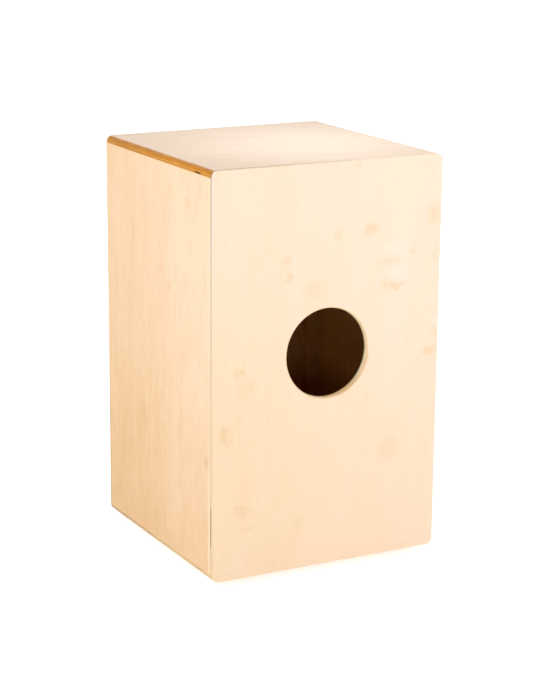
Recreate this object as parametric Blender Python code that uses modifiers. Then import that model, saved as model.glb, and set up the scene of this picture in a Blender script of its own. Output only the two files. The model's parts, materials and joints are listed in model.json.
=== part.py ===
"""Cajon: a plywood box drum with a sound hole in the back and a swivelling snare behind the front plate.

Metres, +Z up. The origin is on the floor under the middle of the drum. The front plate that is struck faces
-Y, the sound hole faces +Y, and left and right are as seen by someone who faces the front plate.
"""

import math

import bmesh
import bpy
from mathutils import Matrix, Vector

# Driving dimensions
WIDTH = 0.298  # side to side, X
DEPTH = 0.292  # front plate's face to back panel's face, Y
BOX_HEIGHT = 0.480  # bottom board's underside to the seat, Z
FOOT_HEIGHT = 0.010  # how far the feet hold the box off the floor
BOARD = 0.009  # seat, bottom and side boards
BACK_THICKNESS = 0.006
FRONT_THICKNESS = 0.003
CORNER_RADIUS = 0.007  # rounded long edges of the box
CORNER_SEGMENTS = 6
EDGE_BREAK = 0.0006  # sanded edges of the front plate and the back panel
GAP = 0.0003  # left between pieces that touch

HOLE_RADIUS = 0.0530
HOLE_HEIGHT = 0.258  # above the box's underside
HOLE_OFFSET = 0.002  # the hole was cut this far to the right of the middle
HOLE_ROUND = 0.0022  # rounding of the hole's outer rim
HOLE_STEPS = 64

PLY_VOID_REACH = (0.0025, 0.0080, 0.0006)  # half sizes of the gap in an inner ply at the seat's right edge
PLY_VOID_Y = 0.1085
PLY_VOID_RISE = 0.0016  # above the seat board's underside
SEAM_HOLLOW_REACH = (0.0030, 0.0008, 0.0270)  # half sizes of the hollow where the back's right seam is open
SEAM_HOLLOW_HEIGHT = 0.067  # above the box's underside
HOLLOW_SEGMENTS = 16

BATTEN = 0.014  # side of the square battens

SCREW_HEAD_HEIGHT = 0.0022
SCREW_HEAD_RADIUS = 0.0036
SCREW_SHANK_RADIUS = 0.0016
SCREW_LENGTH = 0.014
SCREW_STEPS = 12
SIDE_SCREW_HEIGHTS = (0.030, 0.140, 0.250, 0.360, 0.450)  # above the box's underside
ROW_SCREW_X = (-0.055, 0.055)  # top and bottom rows

FOOT_INSET = 0.048  # foot centre from the box's outer faces
FOOT_TOP_RADIUS = 0.0130
FOOT_BASE_RADIUS = 0.0115
FOOT_RECESS_RADIUS = 0.0052
FOOT_RECESS_DEPTH = 0.0050
FOOT_BORE_RADIUS = 0.0022
FOOT_ROUND = 0.0015
FOOT_STEPS = 24
FOOT_SCREW_LENGTH = 0.012
FOOT_PILOT_DEPTH = 0.008  # blind hole in the bottom board

SNARE_AXIS_HEIGHT = 0.345  # swivel axis above the floor
SNARE_AXIS_SETBACK = 0.0126  # swivel axis behind the front plate's inner face
SNARE_BAR_DEPTH = 0.018  # Y
SNARE_BAR_BELOW = 0.008  # bar's underside below the axis
SNARE_BAR_ABOVE = 0.020  # bar's top above the axis
SNARE_BAR_BEVEL = 0.002
JOURNAL_RADIUS = 0.006
JOURNAL_CLEARANCE = 0.0003
JOURNAL_END_GAP = 0.001  # journal's end short of the batten
JOURNAL_STEPS = 24
BLOCK_THICKNESS = 0.012  # X
BLOCK_DEPTH = 0.024  # Y
BLOCK_BELOW = 0.032  # block's underside below the axis
BLOCK_ABOVE = 0.012  # block's top above the axis
BLOCK_SCREW_DROPS = (0.016, 0.026)  # below the axis, clear of the bar
BLOCK_SCREW_LENGTH = 0.018
WASHER_THICKNESS = 0.0012
WASHER_RADIUS = 0.0085

SNARE_SET_X = 0.055  # middle of each set of wires
SNARE_SPLAY = math.radians(7.0)  # each set leans towards its upper corner
SNARE_PLATE_WIDTH = 0.046
SNARE_PLATE_THICKNESS = 0.001
SNARE_PLATE_LOW = 0.006  # plate's lower edge above the axis
SNARE_PLATE_HIGH = 0.019
STRANDS = 10
STRAND_PITCH = 0.0042
STRAND_RADIUS = 0.0008
STRAND_SINK = 0.0003  # how far a strand is sunk in the solder on its plate
STRAND_LOW = 0.0145  # strand's soldered end above the axis
STRAND_LENGTH = 0.090
STRAND_STEPS = 6
PLATE_SCREW_SPREAD = 0.032
PLATE_SCREW_HEIGHT = 0.0100
PLATE_SCREW_HEAD_HEIGHT = 0.0014
PLATE_SCREW_HEAD_RADIUS = 0.0026
PLATE_SCREW_SHANK_RADIUS = 0.0012
PLATE_SCREW_LENGTH = 0.008

# Derived places. The box is set back by half a screw head, so the whole drum is centred on the origin.
BOTTOM = FOOT_HEIGHT
TOP = BOTTOM + BOX_HEIGHT
HALF_WIDTH = WIDTH / 2
HEAD_STAND = SCREW_HEAD_HEIGHT + GAP  # how far a screw's head stands off the front plate
FRONT_FACE = -(DEPTH + HEAD_STAND) / 2 + HEAD_STAND
BACK_FACE = FRONT_FACE + DEPTH
CARCASS_FRONT = FRONT_FACE + FRONT_THICKNESS + GAP
CARCASS_BACK = BACK_FACE - BACK_THICKNESS - GAP
INNER_X = HALF_WIDTH - BOARD  # side boards' inner faces
INNER_LOW = BOTTOM + BOARD
INNER_HIGH = TOP - BOARD
BATTEN_X = INNER_X - GAP - BATTEN / 2  # middle of an upright batten
PLATE_INSIDE = FRONT_FACE + FRONT_THICKNESS
SNARE_Y = PLATE_INSIDE + SNARE_AXIS_SETBACK
BLOCK_OUTER_X = BATTEN_X - BATTEN / 2 - GAP
BLOCK_INNER_X = BLOCK_OUTER_X - BLOCK_THICKNESS
SHOULDER_X = BLOCK_INNER_X - WASHER_THICKNESS - 2 * GAP
HOLE_Z = BOTTOM + HOLE_HEIGHT

ALONG_Y = Matrix.Rotation(math.radians(90), 4, "X")  # turns +Z to -Y
ALONG_X = Matrix.Rotation(math.radians(90), 4, "Y")  # turns +Z to +X


# Scene


def clear_scene():
    for obj in list(bpy.data.objects):
        bpy.data.objects.remove(obj, do_unlink=True)


def new_collection(name):
    collection = bpy.data.collections.new(name)
    bpy.context.scene.collection.children.link(collection)
    return collection


def new_material(name, colour, roughness, metallic=0.0):
    material = bpy.data.materials.new(name)
    material.use_nodes = True
    shader = material.node_tree.nodes["Principled BSDF"]
    shader.inputs["Base Color"].default_value = (*colour, 1.0)
    shader.inputs["Roughness"].default_value = roughness
    shader.inputs["Metallic"].default_value = metallic
    return material


clear_scene()
parts = new_collection("cajon")
cutters = new_collection("cutters")

VENEER = new_material("birch_veneer", (0.87, 0.70, 0.50), 0.42)
BATTEN_WOOD = new_material("batten_wood", (0.72, 0.55, 0.36), 0.65)
SNARE_WOOD = new_material("snare_bar_wood", (0.66, 0.46, 0.27), 0.5)
STEEL = new_material("screw_steel", (0.72, 0.72, 0.73), 0.3, metallic=1.0)
SNARE_STEEL = new_material("snare_steel", (0.78, 0.77, 0.74), 0.25, metallic=1.0)
RUBBER = new_material("foot_rubber", (0.03, 0.03, 0.03), 0.8)
FELT = new_material("washer_felt", (0.10, 0.09, 0.08), 0.95)


# Shapes


def add_object(name, mesh, material, collection=None):
    obj = bpy.data.objects.new(name, mesh)
    (collection or parts).objects.link(obj)
    if material and not mesh.materials:
        mesh.materials.append(material)
    return obj


def mesh_from(bm, name):
    bmesh.ops.recalc_face_normals(bm, faces=bm.faces)
    mesh = bpy.data.meshes.new(name)
    bm.to_mesh(mesh)
    bm.free()
    return mesh


def shade_round(mesh):
    mesh.shade_smooth()
    mesh.set_sharp_from_angle(angle=math.radians(35))


def box_bmesh(size):
    bm = bmesh.new()
    bmesh.ops.create_cube(bm, size=1.0, matrix=Matrix.Diagonal((*size, 1.0)))
    return bm


def bevel_where(bm, width, segments, wanted):
    """Rounds the edges whose middle and direction the test accepts."""
    edges = []
    for edge in bm.edges:
        start, end = edge.verts[0].co, edge.verts[1].co
        if wanted((start + end) / 2, (end - start).normalized()):
            edges.append(edge)
    bmesh.ops.bevel(bm, geom=edges, offset=width, segments=segments, profile=0.5, affect="EDGES")


def box_between(name, low, high, material):
    """A plain block between two corners."""
    low, high = Vector(low), Vector(high)
    obj = add_object(name, mesh_from(box_bmesh(high - low), name), material)
    obj.location = (low + high) / 2
    return obj


def add_cylinder(bm, radius, length, steps, matrix):
    """Adds a closed cylinder about +Z with its middle at the origin, placed by the matrix."""
    bmesh.ops.create_cone(
        bm, cap_ends=True, segments=steps, radius1=radius, radius2=radius, depth=length, matrix=matrix
    )


def turned_mesh(name, profile, steps):
    """A closed turned shape from an open profile of (radius, height) points, top to bottom, round +Z."""
    bm = bmesh.new()
    verts = [bm.verts.new((radius, 0, height)) for radius, height in profile]
    closed = profile[0][0] > 0
    for first, second in zip(verts, verts[1:]):
        bm.edges.new((first, second))
    if closed:
        bm.edges.new((verts[-1], verts[0]))
    mesh = bpy.data.meshes.new(name)
    bm.to_mesh(mesh)
    bm.free()
    obj = add_object(name + "_profile", mesh, None, cutters)
    screw = obj.modifiers.new("turn", "SCREW")
    screw.axis = "Z"
    screw.steps = screw.render_steps = steps
    screw.use_merge_vertices = True
    screw.merge_threshold = 0.00001
    return baked(obj, name)


def baked(obj, name):
    """The object's evaluated mesh, with the object itself removed."""
    bpy.context.view_layer.update()
    graph = bpy.context.evaluated_depsgraph_get()
    mesh = bpy.data.meshes.new_from_object(obj.evaluated_get(graph))
    mesh.name = name
    bpy.data.objects.remove(obj, do_unlink=True)
    bm = bmesh.new()
    bm.from_mesh(mesh)
    bmesh.ops.recalc_face_normals(bm, faces=bm.faces)
    bm.to_mesh(mesh)
    bm.free()
    return mesh


def arc(centre, radius, start, end, segments):
    """Points of an arc in the profile plane, angles in degrees from +radius towards +height."""
    points = []
    for step in range(segments + 1):
        angle = math.radians(start + (end - start) * step / segments)
        points.append((centre[0] + radius * math.cos(angle), centre[1] + radius * math.sin(angle)))
    return points


def add_cutter(name, mesh, matrix):
    cutter = add_object(name, mesh, None, cutters)
    cutter.matrix_world = matrix
    cutter.hide_render = True
    cutter.display_type = "WIRE"
    return cutter


def cut(obj, cutter):
    boolean = obj.modifiers.new(cutter.name, "BOOLEAN")
    boolean.operation = "DIFFERENCE"
    boolean.solver = "EXACT"
    boolean.object = cutter


def drill(obj, name, places, radius, length, turn, steps=SCREW_STEPS):
    """One cutter with a cylinder at each place, running a length along the turned +Z, cut from the object."""
    bm = bmesh.new()
    for place in places:
        matrix = Matrix.Translation(place) @ turn @ Matrix.Translation((0, 0, length / 2))
        add_cylinder(bm, radius, length, steps, matrix)
    cut(obj, add_cutter(name, mesh_from(bm, name), Matrix()))


# The box


def seat_or_bottom(name, low_z, rounded_side):
    """A board across the box, its two long outer edges rounded over on the top (+1) or the underside (-1)."""
    size = (WIDTH, CARCASS_BACK - CARCASS_FRONT, BOARD)
    bm = box_bmesh(size)
    bevel_where(
        bm,
        CORNER_RADIUS,
        CORNER_SEGMENTS,
        lambda middle, along: abs(along.y) > 0.9 and middle.z * rounded_side > 0,
    )
    obj = add_object(name, mesh_from(bm, name), VENEER)
    obj.location = (0, (CARCASS_FRONT + CARCASS_BACK) / 2, low_z + BOARD / 2)
    shade_round(obj.data)
    return obj


def cover_panel(name, thickness, outer_face, outward):
    """The front plate or the back panel: the box's rounded outline, its outer rim softened."""
    bm = box_bmesh((WIDTH, thickness, BOX_HEIGHT))
    bevel_where(bm, CORNER_RADIUS, CORNER_SEGMENTS, lambda middle, along: abs(along.y) > 0.9)
    bevel_where(
        bm, EDGE_BREAK, 1, lambda middle, along: middle.y * outward > thickness * 0.49 and abs(along.y) < 0.1
    )
    obj = add_object(name, mesh_from(bm, name), VENEER)
    obj.location = (0, outer_face - outward * thickness / 2, BOTTOM + BOX_HEIGHT / 2)
    shade_round(obj.data)
    return obj


def side_board(name, side):
    outer, inner = side * HALF_WIDTH, side * INNER_X
    low = (min(outer, inner), CARCASS_FRONT, INNER_LOW + GAP)
    high = (max(outer, inner), CARCASS_BACK, INNER_HIGH - GAP)
    return box_between(name, low, high, VENEER)


def hollow(obj, name, place, reach):
    """Cuts a small lens-shaped hollow out of a board, given its middle and its half sizes."""
    bm = bmesh.new()
    matrix = Matrix.Translation(place) @ Matrix.Diagonal((*reach, 1.0))
    bmesh.ops.create_uvsphere(
        bm, u_segments=HOLLOW_SEGMENTS, v_segments=HOLLOW_SEGMENTS // 2, radius=1.0, matrix=matrix
    )
    cut(obj, add_cutter(name, mesh_from(bm, name), Matrix()))


def sound_hole_cutter():
    """A turned plug with a flared mouth, which leaves the hole's outer rim rounded."""
    flare = HOLE_RADIUS + HOLE_ROUND
    mouth = arc((flare, 0), HOLE_ROUND, 90, 180, 4)  # from the face into the wall
    mouth = [(radius, height - HOLE_ROUND) for radius, height in mouth]
    profile = [(0, HOLE_ROUND), (flare, HOLE_ROUND), *mouth, (HOLE_RADIUS, -2 * BACK_THICKNESS)]
    profile.append((0, -2 * BACK_THICKNESS))
    mesh = turned_mesh("sound_hole_cutter", profile, HOLE_STEPS)
    matrix = Matrix.Translation((HOLE_OFFSET, BACK_FACE, HOLE_Z)) @ ALONG_Y.inverted()
    return add_cutter("sound_hole_cutter", mesh, matrix)


top_panel = seat_or_bottom("top_panel", INNER_HIGH, 1)
bottom_panel = seat_or_bottom("bottom_panel", BOTTOM, -1)
side_board("left_side_panel", -1)
right_side_panel = side_board("right_side_panel", 1)
front_plate = cover_panel("front_plate", FRONT_THICKNESS, FRONT_FACE, -1)
back_panel = cover_panel("back_panel", BACK_THICKNESS, BACK_FACE, 1)
cut(back_panel, sound_hole_cutter())
hollow(top_panel, "ply_void", (HALF_WIDTH, PLY_VOID_Y, INNER_HIGH + PLY_VOID_RISE), PLY_VOID_REACH)
hollow(
    right_side_panel,
    "open_seam",
    (HALF_WIDTH, CARCASS_BACK, BOTTOM + SEAM_HOLLOW_HEIGHT),
    SEAM_HOLLOW_REACH,
)


# Battens inside the front and the back


def batten_frame(end, face):
    """Two uprights and two cross battens against the front plate or the back panel."""
    low_y, high_y = (face, face + BATTEN) if end == "front" else (face - BATTEN, face)
    low_z, high_z = INNER_LOW + GAP, INNER_HIGH - GAP
    made = {}
    for side, sign in (("left", -1), ("right", 1)):
        low = (sign * BATTEN_X - BATTEN / 2, low_y, low_z)
        high = (sign * BATTEN_X + BATTEN / 2, high_y, high_z)
        made[side] = box_between(f"{end}_{side}_batten", low, high, BATTEN_WOOD)
    reach = BATTEN_X - BATTEN / 2 - GAP
    for level, base in (("bottom", low_z), ("top", high_z - BATTEN)):
        low, high = (-reach, low_y, base), (reach, high_y, base + BATTEN)
        made[level] = box_between(f"{end}_{level}_batten", low, high, BATTEN_WOOD)
    return made


front_battens = batten_frame("front", CARCASS_FRONT)
batten_frame("back", CARCASS_BACK)


# Screws


def screw_mesh(name, head_radius, head_height, shank_radius, length):
    """A pan-head screw on +Z: the head's seat at the origin, the head above it and the shank below."""
    crown = head_height * 0.45
    tip = shank_radius * 2
    profile = [
        (0, head_height),
        (head_radius * 0.55, head_height),
        (head_radius, head_height - crown),
        (head_radius, 0),
        (shank_radius, 0),
        (shank_radius, tip - length),
        (0, -length),
    ]
    mesh = turned_mesh(name, profile, SCREW_STEPS)
    shade_round(mesh)
    return mesh


def place_screw(name, mesh, place, turn):
    screw = add_object(name, mesh, STEEL)
    screw.matrix_world = Matrix.Translation(place) @ turn
    return screw


def front_screw_places():
    """(place on the front plate's face, batten that the screw goes into) for every front plate screw."""
    places = []
    for side, sign in (("left", -1), ("right", 1)):
        for height in SIDE_SCREW_HEIGHTS:
            places.append((Vector((sign * BATTEN_X, FRONT_FACE, BOTTOM + height)), side))
    for level, height in (
        ("bottom", INNER_LOW + GAP + BATTEN / 2),
        ("top", INNER_HIGH - GAP - BATTEN / 2),
    ):
        for x in ROW_SCREW_X:
            places.append((Vector((x, FRONT_FACE, height)), level))
    return places


front_screw = screw_mesh(
    "front_screw", SCREW_HEAD_RADIUS, SCREW_HEAD_HEIGHT, SCREW_SHANK_RADIUS, SCREW_LENGTH
)
SCREW_HOLE = SCREW_SHANK_RADIUS + GAP
FRONT_SCREWS = front_screw_places()
HEAD_LIFT = Vector((0, -GAP, 0))  # the head's seat stands this far off the plate
for number, (place, _) in enumerate(FRONT_SCREWS, 1):
    place_screw(f"front_screw_{number:02d}", front_screw, place + HEAD_LIFT, ALONG_Y)
drill(
    front_plate,
    "front_plate_holes",
    [place + Vector((0, FRONT_THICKNESS * 2, 0)) for place, _ in FRONT_SCREWS],
    SCREW_HOLE,
    FRONT_THICKNESS * 3,
    ALONG_Y,
)
for key, batten in front_battens.items():
    drill(
        batten,
        f"{batten.name}_holes",
        [place + Vector((0, SCREW_LENGTH + GAP, 0)) for place, into in FRONT_SCREWS if into == key],
        SCREW_HOLE,
        SCREW_LENGTH,
        ALONG_Y,
    )


# Feet


def foot_mesh():
    """A rubber foot on +Z with its base at the origin, a bore and a recess for its screw's head."""
    rim = arc((FOOT_BASE_RADIUS - FOOT_ROUND, FOOT_ROUND), FOOT_ROUND, 0, -90, 2)
    profile = [
        (FOOT_TOP_RADIUS, FOOT_HEIGHT - GAP),
        *rim,
        (FOOT_RECESS_RADIUS, 0),
        (FOOT_RECESS_RADIUS, FOOT_RECESS_DEPTH),
        (FOOT_BORE_RADIUS, FOOT_RECESS_DEPTH),
        (FOOT_BORE_RADIUS, FOOT_HEIGHT - GAP),
    ]
    mesh = turned_mesh("foot", profile, FOOT_STEPS)
    shade_round(mesh)
    return mesh


rubber_foot = foot_mesh()
foot_screw = screw_mesh(
    "foot_screw", SCREW_HEAD_RADIUS, SCREW_HEAD_HEIGHT, SCREW_SHANK_RADIUS, FOOT_SCREW_LENGTH
)
UPSIDE_DOWN = Matrix.Rotation(math.pi, 4, "X")
foot_places = []
for end, foot_y in (("front", FRONT_FACE + FOOT_INSET), ("back", BACK_FACE - FOOT_INSET)):
    for side, sign in (("left", -1), ("right", 1)):
        place = Vector((sign * (HALF_WIDTH - FOOT_INSET), foot_y, 0))
        foot_places.append(place)
        foot = add_object(f"{end}_{side}_foot", rubber_foot, RUBBER)
        foot.location = place
        seat = place + Vector((0, 0, FOOT_RECESS_DEPTH - GAP))
        place_screw(f"{end}_{side}_foot_screw", foot_screw, seat, UPSIDE_DOWN)
drill(
    bottom_panel,
    "foot_screw_holes",
    [place + Vector((0, 0, BOTTOM - BOARD)) for place in foot_places],
    SCREW_HOLE,
    BOARD + FOOT_PILOT_DEPTH,
    Matrix(),
)


# Snare: everything that swivels hangs on one empty on the swivel axis

snare_pivot = bpy.data.objects.new("snare_pivot", None)
parts.objects.link(snare_pivot)
snare_pivot.location = (0, SNARE_Y, SNARE_AXIS_HEIGHT)
BAR_FRONT = -SNARE_BAR_DEPTH / 2  # from here on, places are relative to the pivot
PLATE_BACK = BAR_FRONT - GAP
PLATE_FRONT = PLATE_BACK - SNARE_PLATE_THICKNESS


def hang_on_pivot(obj):
    obj.parent = snare_pivot
    return obj


def union(first, second, name):
    """One mesh from two overlapping closed shapes, each given as a bmesh."""
    base = add_object(f"{name}_base", mesh_from(first, name), None, cutters)
    added = add_object(f"{name}_added", mesh_from(second, name), None, cutters)
    boolean = base.modifiers.new("join", "BOOLEAN")
    boolean.operation = "UNION"
    boolean.solver = "EXACT"
    boolean.object = added
    mesh = baked(base, name)
    bpy.data.objects.remove(added, do_unlink=True)
    return mesh


def snare_bar():
    """A bar with softened edges, and a round journal through its whole length that shows at both ends."""
    bar = box_bmesh((2 * SHOULDER_X, SNARE_BAR_DEPTH, SNARE_BAR_BELOW + SNARE_BAR_ABOVE))
    bevel_where(bar, SNARE_BAR_BEVEL, 2, lambda middle, along: abs(along.x) > 0.9)
    bmesh.ops.translate(bar, verts=bar.verts, vec=(0, 0, (SNARE_BAR_ABOVE - SNARE_BAR_BELOW) / 2))
    rod = bmesh.new()
    add_cylinder(rod, JOURNAL_RADIUS, 2 * (BLOCK_OUTER_X - JOURNAL_END_GAP), JOURNAL_STEPS, ALONG_X)
    mesh = union(bar, rod, "snare_bar")
    shade_round(mesh)
    return hang_on_pivot(add_object("snare_bar", mesh, SNARE_WOOD))


def snare_wires(name, side):
    """A plate with a row of strands soldered on its front, leaning towards the box's upper corner."""
    height = SNARE_PLATE_HIGH - SNARE_PLATE_LOW
    plate = box_bmesh((SNARE_PLATE_WIDTH, SNARE_PLATE_THICKNESS, height))
    middle = Vector((0, (PLATE_FRONT + PLATE_BACK) / 2, (SNARE_PLATE_LOW + SNARE_PLATE_HIGH) / 2))
    bmesh.ops.translate(plate, verts=plate.verts, vec=middle)
    strands = bmesh.new()
    strand_y = PLATE_FRONT - STRAND_RADIUS + STRAND_SINK
    for number in range(STRANDS):
        x = (number - (STRANDS - 1) / 2) * STRAND_PITCH
        place = Matrix.Translation((x, strand_y, STRAND_LOW + STRAND_LENGTH / 2))
        add_cylinder(strands, STRAND_RADIUS, STRAND_LENGTH, STRAND_STEPS, place)
    obj = hang_on_pivot(add_object(name, union(plate, strands, name), SNARE_STEEL))
    obj.location = (side * SNARE_SET_X, 0, 0)
    return obj


def lean(side):
    """Turns a set of wires about the middle of its plate's screws."""
    hub = Vector((0, 0, PLATE_SCREW_HEIGHT))
    turn = Matrix.Rotation(side * SNARE_SPLAY, 4, "Y")
    return Matrix.Translation(hub) @ turn @ Matrix.Translation(-hub)


bar = snare_bar()
plate_screw = screw_mesh(
    "snare_plate_screw",
    PLATE_SCREW_HEAD_RADIUS,
    PLATE_SCREW_HEAD_HEIGHT,
    PLATE_SCREW_SHANK_RADIUS,
    PLATE_SCREW_LENGTH,
)
PLATE_HOLE = PLATE_SCREW_SHANK_RADIUS + GAP
for side_name, sign in (("left", -1), ("right", 1)):
    wires = snare_wires(f"snare_wires_{side_name}", sign)
    wires.data.transform(lean(sign))
    holes = []
    for number, spread in enumerate((-PLATE_SCREW_SPREAD / 2, PLATE_SCREW_SPREAD / 2), 1):
        local = lean(sign) @ Vector((spread, PLATE_FRONT - GAP, PLATE_SCREW_HEIGHT))
        screw = place_screw(
            f"snare_plate_screw_{side_name}_{number}",
            plate_screw,
            local + Vector((sign * SNARE_SET_X, 0, 0)),
            ALONG_Y,
        )
        hang_on_pivot(screw)
        holes.append(snare_pivot.location + screw.location + Vector((0, PLATE_SCREW_LENGTH + GAP, 0)))
    drill(wires, f"{wires.name}_holes", holes, PLATE_HOLE, 2 * PLATE_SCREW_LENGTH, ALONG_Y)
    drill(bar, f"snare_bar_holes_{side_name}", holes, PLATE_HOLE, 2 * PLATE_SCREW_LENGTH, ALONG_Y)


# Blocks and washers that carry the snare bar


def bearing_block(side_name, sign):
    low_x, high_x = sorted((sign * BLOCK_INNER_X, sign * BLOCK_OUTER_X))
    low = (low_x, SNARE_Y - BLOCK_DEPTH / 2, SNARE_AXIS_HEIGHT - BLOCK_BELOW)
    high = (high_x, SNARE_Y + BLOCK_DEPTH / 2, SNARE_AXIS_HEIGHT + BLOCK_ABOVE)
    block = box_between(f"snare_block_{side_name}", low, high, SNARE_WOOD)
    axis_start = Vector((-INNER_X, SNARE_Y, SNARE_AXIS_HEIGHT))
    drill(
        block,
        f"snare_block_{side_name}_bore",
        [axis_start],
        JOURNAL_RADIUS + JOURNAL_CLEARANCE,
        2 * INNER_X,
        ALONG_X,
        JOURNAL_STEPS,
    )
    return block


def washer(side_name, sign):
    """A felt ring on the journal, between the bar's shoulder and the block."""
    inner = JOURNAL_RADIUS + JOURNAL_CLEARANCE
    half = WASHER_THICKNESS / 2
    profile = [(WASHER_RADIUS, half), (WASHER_RADIUS, -half), (inner, -half), (inner, half)]
    mesh = turned_mesh(f"friction_washer_{side_name}", profile, JOURNAL_STEPS)
    ring = hang_on_pivot(add_object(f"friction_washer_{side_name}", mesh, FELT))
    ring.matrix_local = Matrix.Translation((sign * (SHOULDER_X + GAP + half), 0, 0)) @ ALONG_X
    return ring


block_screw = screw_mesh(
    "snare_block_screw", SCREW_HEAD_RADIUS, SCREW_HEAD_HEIGHT, SCREW_SHANK_RADIUS, BLOCK_SCREW_LENGTH
)
for side_name, sign in (("left", -1), ("right", 1)):
    block = bearing_block(side_name, sign)
    washer(side_name, sign)
    inward = ALONG_X.inverted() if sign > 0 else ALONG_X
    places = []
    for number, drop in enumerate(BLOCK_SCREW_DROPS, 1):
        place = Vector((sign * (BLOCK_INNER_X - GAP), SNARE_Y, SNARE_AXIS_HEIGHT - drop))
        places.append(place)
        place_screw(f"snare_block_screw_{side_name}_{number}", block_screw, place, inward)
    for drilled in (block, front_battens[side_name]):
        drill(
            drilled,
            f"{drilled.name}_block_screws",
            [place + Vector((-sign * GAP, 0, 0)) for place in places],
            SCREW_HOLE,
            BLOCK_SCREW_LENGTH + 2 * GAP,
            inward.inverted(),
        )
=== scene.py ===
"""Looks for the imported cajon: lacquered plywood, real screws, moulded feet and a set of coiled snare wires.

Metres, in the CAD frame: +Z up, the front plate faces -Y and the back panel with the sound hole faces +Y.
"""

import json
import math
import random

import bmesh
import bpy
from mathutils import Matrix, Vector


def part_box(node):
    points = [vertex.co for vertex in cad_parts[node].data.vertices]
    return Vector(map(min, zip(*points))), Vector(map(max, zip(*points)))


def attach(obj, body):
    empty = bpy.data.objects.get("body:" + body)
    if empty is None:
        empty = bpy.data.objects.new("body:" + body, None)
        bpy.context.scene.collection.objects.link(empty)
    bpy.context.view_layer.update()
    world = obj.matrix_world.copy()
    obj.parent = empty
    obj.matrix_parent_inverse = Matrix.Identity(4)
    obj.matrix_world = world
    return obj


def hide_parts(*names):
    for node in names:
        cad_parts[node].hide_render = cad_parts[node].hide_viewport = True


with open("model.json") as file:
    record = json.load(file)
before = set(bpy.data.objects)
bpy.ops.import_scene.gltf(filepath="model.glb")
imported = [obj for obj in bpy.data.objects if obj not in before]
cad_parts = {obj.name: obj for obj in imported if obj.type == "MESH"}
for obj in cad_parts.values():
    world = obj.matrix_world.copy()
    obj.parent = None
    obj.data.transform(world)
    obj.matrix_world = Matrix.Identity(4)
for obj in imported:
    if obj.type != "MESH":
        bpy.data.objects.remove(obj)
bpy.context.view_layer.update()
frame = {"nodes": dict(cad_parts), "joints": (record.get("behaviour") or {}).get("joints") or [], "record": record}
NODES = frame["nodes"]
BOX_BODY = "box"
SNARE_BODY = "snare"
SIDES = (("left", -1), ("right", 1))

# Places read from the frame
BACK_LOW, BACK_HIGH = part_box("back_panel")
FRONT_LOW, FRONT_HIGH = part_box("front_plate")
SIDE_LOW, SIDE_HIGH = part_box("right_side_panel")
TOP_LOW, TOP_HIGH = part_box("top_panel")
HALF_WIDTH = BACK_HIGH.x
BACK_FACE = BACK_HIGH.y
FRONT_FACE = FRONT_LOW.y
BOX_TOP = BACK_HIGH.z
BOX_BOTTOM = BACK_LOW.z
BACK_THICKNESS = BACK_HIGH.y - BACK_LOW.y
FRONT_THICKNESS = FRONT_HIGH.y - FRONT_LOW.y
BOARD = TOP_HIGH.z - TOP_LOW.z
CARCASS_FRONT, CARCASS_BACK = SIDE_LOW.y, SIDE_HIGH.y
HOLE_LOW, HOLE_HIGH = frame["record"]["physics"]["openings"][0]["box_m"]
HOLE_X = (HOLE_LOW[0] + HOLE_HIGH[0]) / 2
HOLE_Z = (HOLE_LOW[2] + HOLE_HIGH[2]) / 2
HOLE_MIDDLE = (HOLE_X, BACK_FACE, HOLE_Z)
HOLE_RIM = 0.0570  # radius that takes in the hole's rounded rim
PIVOT = Vector(frame["joints"][0]["pos_m"])


def linked(name, data):
    """A new object in the scene."""
    obj = bpy.data.objects.new(name, data)
    bpy.context.scene.collection.objects.link(obj)
    return obj


# Camera

LENS = 102.81
SENSOR = 36.0
CAMERA_AZIMUTH = math.radians(151.74)
CAMERA_ELEVATION = math.radians(14.69)
CAMERA_ROLL = math.radians(0.488)
CAMERA_DISTANCE = 2.4407
CAMERA_AIM = Vector((-0.0013, 0.0013, 0.2368))


def set_camera():
    """A level camera turned by the roll, at an azimuth and elevation about the point it aims at."""
    flat = math.cos(CAMERA_ELEVATION)
    back = Vector(
        (math.sin(CAMERA_AZIMUTH) * flat, -math.cos(CAMERA_AZIMUTH) * flat, math.sin(CAMERA_ELEVATION))
    )
    right = (-back).cross(Vector((0, 0, 1))).normalized()
    turn = Matrix.Rotation(CAMERA_ROLL, 3, back)
    right = turn @ right
    up = back.cross(right)
    data = bpy.data.cameras.new("camera")
    data.lens = LENS
    data.sensor_width = SENSOR
    camera = linked("camera", data)
    axes = Matrix((right, up, back)).transposed().to_4x4()
    camera.matrix_world = Matrix.Translation(CAMERA_AIM + back * CAMERA_DISTANCE) @ axes
    bpy.context.scene.camera = camera


# Light, floor, backdrop and sky

FLOOR_SIZE = 30.0
BACKDROP_RADIUS, BACKDROP_HEIGHT, BACKDROP_GLOW = 13.0, 12.0, 1.2
BACKDROP_STEPS = 96
WORLD_COLOUR = (1.0, 0.99, 0.98)
WORLD_STRENGTH = 0.40
LAMPS = (  # name, place, aim, side length, power
    ("key", (-1.5, 1.9, 1.5), (-0.05, 0.1, 0.33), 1.4, 28.0),
    ("side", (1.9, 0.9, 1.6), (0.15, 0.1, 0.38), 1.2, 21.5),
    ("overhead", (0.0, -0.5, 2.1), (0.0, 0.0, 0.4), 1.6, 21.0),
)
GLOW_NEAR, GLOW_FAR = 0.45, 0.75  # the floor's own light beside the drum and from GLOW_REACH on
GLOW_START, GLOW_REACH = 0.35, 1.8


def add_lamp(name, place, aim, size, power):
    """A square lamp that looks from its place to the point it aims at."""
    data = bpy.data.lights.new(name, "AREA")
    data.size = size
    data.energy = power
    lamp = linked(name, data)
    direction = Vector(aim) - Vector(place)
    turn = direction.to_track_quat("-Z", "Y").to_matrix().to_4x4()
    lamp.matrix_world = Matrix.Translation(place) @ turn


# Node trees

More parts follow.
